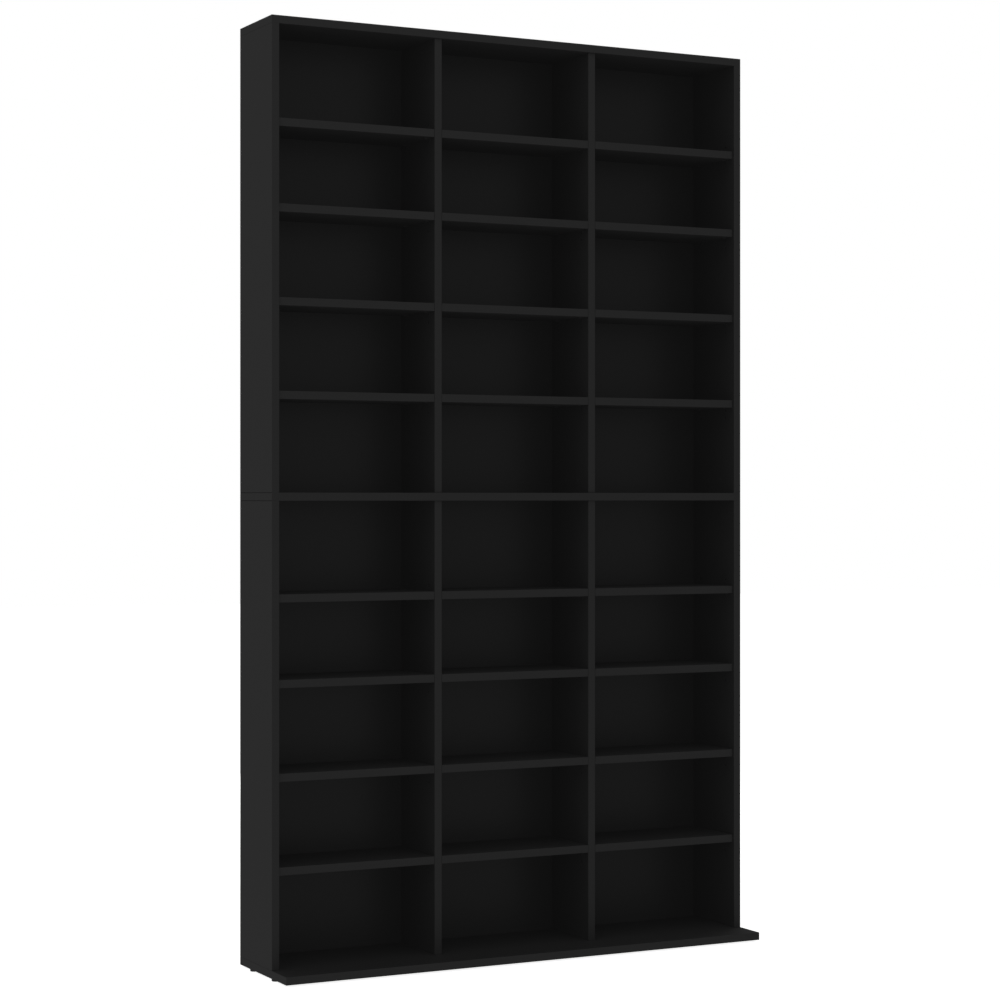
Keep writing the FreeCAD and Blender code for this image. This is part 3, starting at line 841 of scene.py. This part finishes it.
boxes = solids_of("cam_caps")
low, high = boxes[0]
nib_length = (high.x - low.x) / MM - CAM_CAP_THICK
one = domed_cap((high.z - low.z) / 2 / MM, CAM_CAP_THICK, CAM_NIB_RADIUS, nib_length)
places = []
for box in boxes:
    way = 1 if middle(box).x < 0 else -1
    face = (box[1].x if way > 0 else box[0].x) - way * CAM_CAP_THICK * MM
    places.append(Matrix.Translation((face, middle(box).y, middle(box).z))
                  @ Matrix.Rotation(way * math.pi / 2, 4, "Y"))
finished_piece("cam_covers", copies(one, places), black_cap, "cam_caps")

# %% [markdown]
# ## Glides
# The cabinet stands on eight nailed plastic glides. Each is a thick washer with a soft edge, recessed so
# that the nail's head never touches the floor. Instead of cutting a hole, a closed profile is turned
# round it, which leaves clean faces.

# %% Glides
GLIDE_BORE, GLIDE_RECESS, GLIDE_DEEP = 1.05, 3.2, 1.5  # mm: radii of hole and recess, and its depth
GLIDE_FILLET, GLIDE_LIP, GLIDE_SHOULDER = 0.2, 0.25, 0.3  # mm: in the recess, at its mouth, on the top
GLIDE_EDGE = ((0.9, 0), (0.35, 0.15), (0.08, 0.45), (0, 0.9))  # mm: the soft edge, in from the rim and up
GLIDE_STEPS = 32

boxes = solids_of("glides")
low, high = boxes[0]
wide = (high.x - low.x) / 2 / MM
tall = (high.z - low.z) / MM
profile = [(GLIDE_BORE, GLIDE_DEEP), (GLIDE_RECESS - GLIDE_FILLET, GLIDE_DEEP),
           (GLIDE_RECESS, GLIDE_DEEP - GLIDE_FILLET), (GLIDE_RECESS, GLIDE_LIP),
           (GLIDE_RECESS + GLIDE_LIP, 0)]
profile += [(wide - inwards, up) for inwards, up in GLIDE_EDGE]
profile += [(wide, tall - GLIDE_SHOULDER), (wide - GLIDE_SHOULDER, tall), (GLIDE_BORE, tall)]
finished_piece("round_glides", copies(turned(profile, GLIDE_STEPS, ring=True), standing(boxes)),
               black_glide, "glides")

# %% [markdown]
# ## Nails
# A nail holds each glide, and eighty-four short ones hold the back panels in their rebates. Each kind is
# a crowned head, a plain shank and a point, so one function draws both outlines from the points of the
# head. The panel nails are so many that each has only a few dozen faces.

# %% Nails of the glides and the backs
GLIDE_NAIL_HEAD = ((0, 0), (1.3, 0.06), (2.2, 0.25), (2.8, 0.65), (2.8, 0.9), (2.7, 1.0))  # mm
GLIDE_NAIL_RADIUS, GLIDE_NAIL_POINT = 1.0, 2.0  # mm: the shank, and the length of its point
GLIDE_NAIL_STEPS = 16
NAIL_HEAD = ((0, 0), (0.9, 0.07), (1.45, 0.25), (1.6, 0.45), (1.55, 0.6))  # mm
NAIL_RADIUS, NAIL_POINT = 0.7, 1.4  # mm
NAIL_STEPS = 10


def nail_outline(head, radius, long, point):
    """Points from the crown of a nail's head at height zero, round its rim and up to its point."""
    under = head[-1][1]
    return list(head) + [(radius, under), (radius, long - point), (0, long)]


boxes = solids_of("glide_nails")
tall = (boxes[0][1].z - boxes[0][0].z) / MM
profile = nail_outline(GLIDE_NAIL_HEAD, GLIDE_NAIL_RADIUS, tall, GLIDE_NAIL_POINT)
finished_piece("glide_pins", copies(turned(profile, GLIDE_NAIL_STEPS), standing(boxes)), drawn_steel,
               "glide_nails")

boxes = solids_of("back_nails")
long = (boxes[0][1].y - boxes[0][0].y) / MM
profile = nail_outline(NAIL_HEAD, NAIL_RADIUS, long, NAIL_POINT)
forwards = Matrix.Rotation(math.pi / 2, 4, "X")
places = [Matrix.Translation((middle(box).x, box[1].y, middle(box).z)) @ forwards for box in boxes]
finished_piece("panel_nails", copies(turned(profile, NAIL_STEPS), places), drawn_steel,
               "back_nails")

# %% [markdown]
# ## Threads
# A screw's thread is one ridge that climbs round the shank. Rings would do from afar, but they lie level
# where a real thread leans, so a small triangle is spun and lifted a little with each step.

# %% A climbing ridge
THREAD_STEPS = 14  # steps in one turn
THREAD_ROOT = 0.3  # mm that the ridge's foot runs into the shank
RIDGE_HALF = 0.35  # half the ridge's foot, as a share of the pitch


def add_thread(bm, core, crest, pitch, start, end):
    """Add a ridge that climbs from start to end round Z, all in millimetres."""
    foot = core - THREAD_ROOT
    corners = [(foot, start - RIDGE_HALF * pitch), (crest, start), (foot, start + RIDGE_HALF * pitch)]
    face = bm.faces.new([bm.verts.new((radius * MM, 0, height * MM)) for radius, height in corners])
    turns = (end - start) / pitch
    bmesh.ops.spin(bm, geom=[face] + list(face.edges) + list(face.verts), cent=(0, 0, 0),
                   axis=(0, 0, 1), dvec=(0, 0, pitch / THREAD_STEPS * MM), angle=math.tau * turns,
                   steps=round(turns * THREAD_STEPS))
    return bm


print("a ridge of 3 mm pitch climbs %.2f mm with each step" % (3 / THREAD_STEPS))

# %% [markdown]
# ## Connector screws
# Flat-pack boards are joined by thick one-piece screws with a smooth neck, a coned head and a hexagon
# socket. Cutting the socket out would leave ragged faces. Instead the head is turned round, and then the
# rings of the socket are pressed into a hexagon by moving each of their points inwards.

# %% Screws that join the boards
SCREW_HEAD, SCREW_RADIUS, SCREW_CORE = 5.0, 3.5, 2.6  # mm: radii of the head, the neck and the core
SCREW_NECK, SCREW_PITCH = 12.0, 3.0  # mm: end of the smooth neck, and the pitch
SCREW_RIM, SCREW_CONE, SCREW_STEP = 1.0, 4.0, 0.9  # mm: end of the rim and cone, and the neck's step
SCREW_POINT, SCREW_BLUNT, THREAD_GAP = 3.0, 0.8, 2.0  # mm: the point, and plain core before the thread
SOCKET_RADIUS, SOCKET_DEEP, SOCKET_CONE = 2.3, 2.5, 0.5  # mm: the socket, and its drilled bottom
ARRIS, RIM_ARRIS = 0.25, 0.3  # mm: chamfers of the socket and the head
SOCKET_SIDES, SCREW_STEPS = 6, 24


def press_hexagon(bm, reach, deep):
    """Move the points of a round socket onto the hexagon inside it."""
    for vert in bm.verts:
        radius = math.hypot(vert.co.x, vert.co.y)
        if WELD_MM * MM < radius < reach * MM and vert.co.z < deep * MM:
            sector = math.tau / SOCKET_SIDES
            turn = math.atan2(vert.co.y, vert.co.x) % sector - sector / 2
            share = math.cos(sector / 2) / math.cos(turn)
            vert.co.x *= share
            vert.co.y *= share


def connector_screw(long):
    """A screw with its head's face at height zero and its point up."""
    bottom = SOCKET_DEEP + SOCKET_CONE
    socket = [(0, bottom), (SOCKET_RADIUS, SOCKET_DEEP), (SOCKET_RADIUS, ARRIS), (SOCKET_RADIUS + ARRIS, 0)]
    head = [(SCREW_HEAD - RIM_ARRIS, 0), (SCREW_HEAD, ARRIS), (SCREW_HEAD, SCREW_RIM),
            (SCREW_RADIUS, SCREW_CONE)]
    shank = [(SCREW_RADIUS, SCREW_NECK), (SCREW_CORE, SCREW_NECK + SCREW_STEP),
             (SCREW_CORE, long - SCREW_POINT), (SCREW_CORE - SCREW_BLUNT, long), (0, long)]
    bm = turned(socket + head + shank, SCREW_STEPS)
    press_hexagon(bm, SOCKET_RADIUS + ARRIS / 2, bottom + ARRIS)
    return add_thread(bm, SCREW_CORE, SCREW_RADIUS, SCREW_PITCH, SCREW_NECK + THREAD_GAP,
                      long - SCREW_POINT)


for name, node, driven in (("base", "base_screws", standing), ("middle", "middle_screws", hanging),
                           ("roof", "top_screws", hanging)):
    boxes = solids_of(node)
    one = connector_screw((boxes[0][1].z - boxes[0][0].z) / MM)
    finished_piece("connector_screws_" + name, copies(one, driven(boxes)), zinc_plated_steel,
                   node)

# %% [markdown]
# ## Dowels
# A dowel's flutes let the glue and the air out of its hole. Instead of cutting sixteen grooves, every
# second line of points round the turned stick is drawn in a little.

# %% Fluted dowels
DOWEL_FLUTE, DOWEL_CHAMFER = 0.35, 0.8  # mm: depth of a flute, and the chamfer
DOWEL_FLUTES = 16


def fluted_dowel(wide, long):
    """A dowel of this radius and length, standing on height zero."""
    bm = turned([(0, 0), (wide - DOWEL_CHAMFER, 0), (wide, DOWEL_CHAMFER), (wide, long - DOWEL_CHAMFER),
                 (wide - DOWEL_CHAMFER, long), (0, long)], 2 * DOWEL_FLUTES)
    for vert in bm.verts:
        step = round(math.atan2(vert.co.y, vert.co.x) / math.tau * 2 * DOWEL_FLUTES)
        radius = math.hypot(vert.co.x, vert.co.y)
        if step % 2 and radius > (wide - DOWEL_CHAMFER / 2) * MM:
            vert.co.x *= 1 - DOWEL_FLUTE * MM / radius
            vert.co.y *= 1 - DOWEL_FLUTE * MM / radius
    return bm


boxes = solids_of("dowels")
lengths = [round((high.z - low.z) / MM) for low, high in boxes]
all_dowels = bmesh.new()
for long in dict.fromkeys(lengths):
    alike = [box for box, length in zip(boxes, lengths) if length == long]
    wide = (alike[0][1].x - alike[0][0].x) / 2 / MM
    copies(fluted_dowel(wide, long), standing(alike), into=all_dowels)
    print(len(alike), "dowels of", long, "mm")
finished_piece("fluted_dowels", all_dowels, beech, "dowels")

# %% [markdown]
# ## Cam bolts
# A cam bolt is screwed into the middle board, and the cam grips its mushroom head and draws it down. A
# plain pin would have nothing to grip, so the profile narrows to a neck under the head.

# %% Cam bolts
BOLT_HEAD, BOLT_RADIUS, BOLT_THREAD, BOLT_CORE = 3.6, 3.0, 2.5, 1.8  # mm: radii
BOLT_THREAD_LONG, BOLT_HEAD_THICK, BOLT_PITCH = 11.0, 3.0, 2.2  # mm
BOLT_POINT, BOLT_BLUNT = 1.5, 0.5  # mm: the end
BOLT_CHAMFER, BOLT_RUN_OUT = 0.6, 1.0  # mm: the collar's edge, and the bare core below it
NECK_DROP, NECK_FROM, NECK_FULL = 1.0, 1.6, 1.0  # mm: how deep the neck is, and where, below the head
CROWN = ((0.3, 0), (0, 0.4), (0, 1.6), (1.0, 2.7), (2.2, 3.0))  # mm: in from the rim, up from the neck
BOLT_STEPS = 20

boxes = solids_of("cam_bolts")
tall = (boxes[0][1].z - boxes[0][0].z) / MM
neck = tall - BOLT_HEAD_THICK
profile = [(0, 0), (BOLT_CORE - BOLT_BLUNT, 0), (BOLT_CORE, BOLT_POINT),
           (BOLT_CORE, BOLT_THREAD_LONG - BOLT_CHAMFER), (BOLT_RADIUS, BOLT_THREAD_LONG),
           (BOLT_RADIUS, neck - NECK_FROM), (BOLT_RADIUS - NECK_DROP, neck - NECK_FULL),
           (BOLT_RADIUS - NECK_DROP, neck)]
profile += [(BOLT_HEAD - inwards, neck + up) for inwards, up in CROWN] + [(0, tall)]
one = add_thread(turned(profile, BOLT_STEPS), BOLT_CORE, BOLT_THREAD, BOLT_PITCH, BOLT_POINT,
                 BOLT_THREAD_LONG - BOLT_RUN_OUT)
finished_piece("cam_bolt_set", copies(one, standing(boxes)), zinc_plated_steel,
               "cam_bolts")

# %% [markdown]
# ## Screws of the wall angles
# The wall angles are held by pan-head wood screws, turned and threaded as before. A painted cross would
# have no depth, so it is scored into the head with cuts on both sides of each arm, and the faces inside
# it are pushed in and drawn together.

# %% Pan-head screws
PAN_HEAD = ((0, 0), (1.5, 0.05), (2.6, 0.3), (3.4, 0.75), (3.8, 1.35), (3.8, 1.8), (3.6, 2.0))  # mm
PAN_THICK, PAN_SHANK, PAN_CORE, PAN_PITCH = 2.0, 2.0, 1.45, 1.6  # mm: head, radii and pitch
PAN_COLLAR, PAN_STEP, PAN_POINT = 1.0, 1.6, 3.2  # mm: plain shank, its step, the point
PAN_RUN_IN, PAN_RUN_OUT = 2.6, 3.4  # mm: thread from the head to the point
CROSS_REACH, CROSS_WIDE, CROSS_DEEP = 2.0, 0.9, 1.1  # mm
CROSS_TAPER = 0.45  # the recess is this share as wide at its bottom
PAN_STEPS = 24


def cross_recess(bm):
    """Score a cross into the head that faces down at height zero, and push it in."""
    for normal in ((1, 0, 0), (0, 1, 0)):
        for half in (-CROSS_REACH, -CROSS_WIDE / 2, CROSS_WIDE / 2, CROSS_REACH):
            flat = [face for face in bm.faces if face.calc_center_median().z < PAN_THICK / 2 * MM]
            around = {edge for face in flat for edge in face.edges}
            corners = {vert for face in flat for vert in face.verts}
            bmesh.ops.bisect_plane(bm, geom=flat + list(around) + list(corners), dist=WELD_MM * MM / 10,
                                   plane_co=Vector(normal) * half * MM, plane_no=normal)
    cross = []
    for face in bm.faces:
        at = face.calc_center_median() / MM
        arm = min(abs(at.x), abs(at.y)) < CROSS_WIDE / 2 and max(abs(at.x), abs(at.y)) < CROSS_REACH
        if arm and at.z < PAN_THICK / 2:
            cross.append(face)
    pushed = bmesh.ops.extrude_face_region(bm, geom=cross)["geom"]
    bmesh.ops.delete(bm, geom=cross, context="FACES")
    moved = [item for item in pushed if isinstance(item, bmesh.types.BMVert)]
    bmesh.ops.translate(bm, verts=moved, vec=(0, 0, CROSS_DEEP * MM))
    bmesh.ops.scale(bm, verts=moved, vec=(CROSS_TAPER, CROSS_TAPER, 1))
    print("the screw's head and cross have", len(bm.faces), "faces")


boxes = solids_of("wall_angle_screws")
tall = (boxes[0][1].z - boxes[0][0].z) / MM
profile = list(PAN_HEAD) + [(PAN_SHANK, PAN_THICK), (PAN_SHANK, PAN_THICK + PAN_COLLAR),
                            (PAN_CORE, PAN_THICK + PAN_STEP), (PAN_CORE, tall - PAN_POINT), (0, tall)]
one = turned(profile, PAN_STEPS)
cross_recess(one)
add_thread(one, PAN_CORE, PAN_SHANK, PAN_PITCH, PAN_THICK + PAN_RUN_IN, tall - PAN_RUN_OUT)
finished_piece("pan_head_screws", copies(one, hanging(boxes)), zinc_plated_steel,
               "wall_angle_screws")
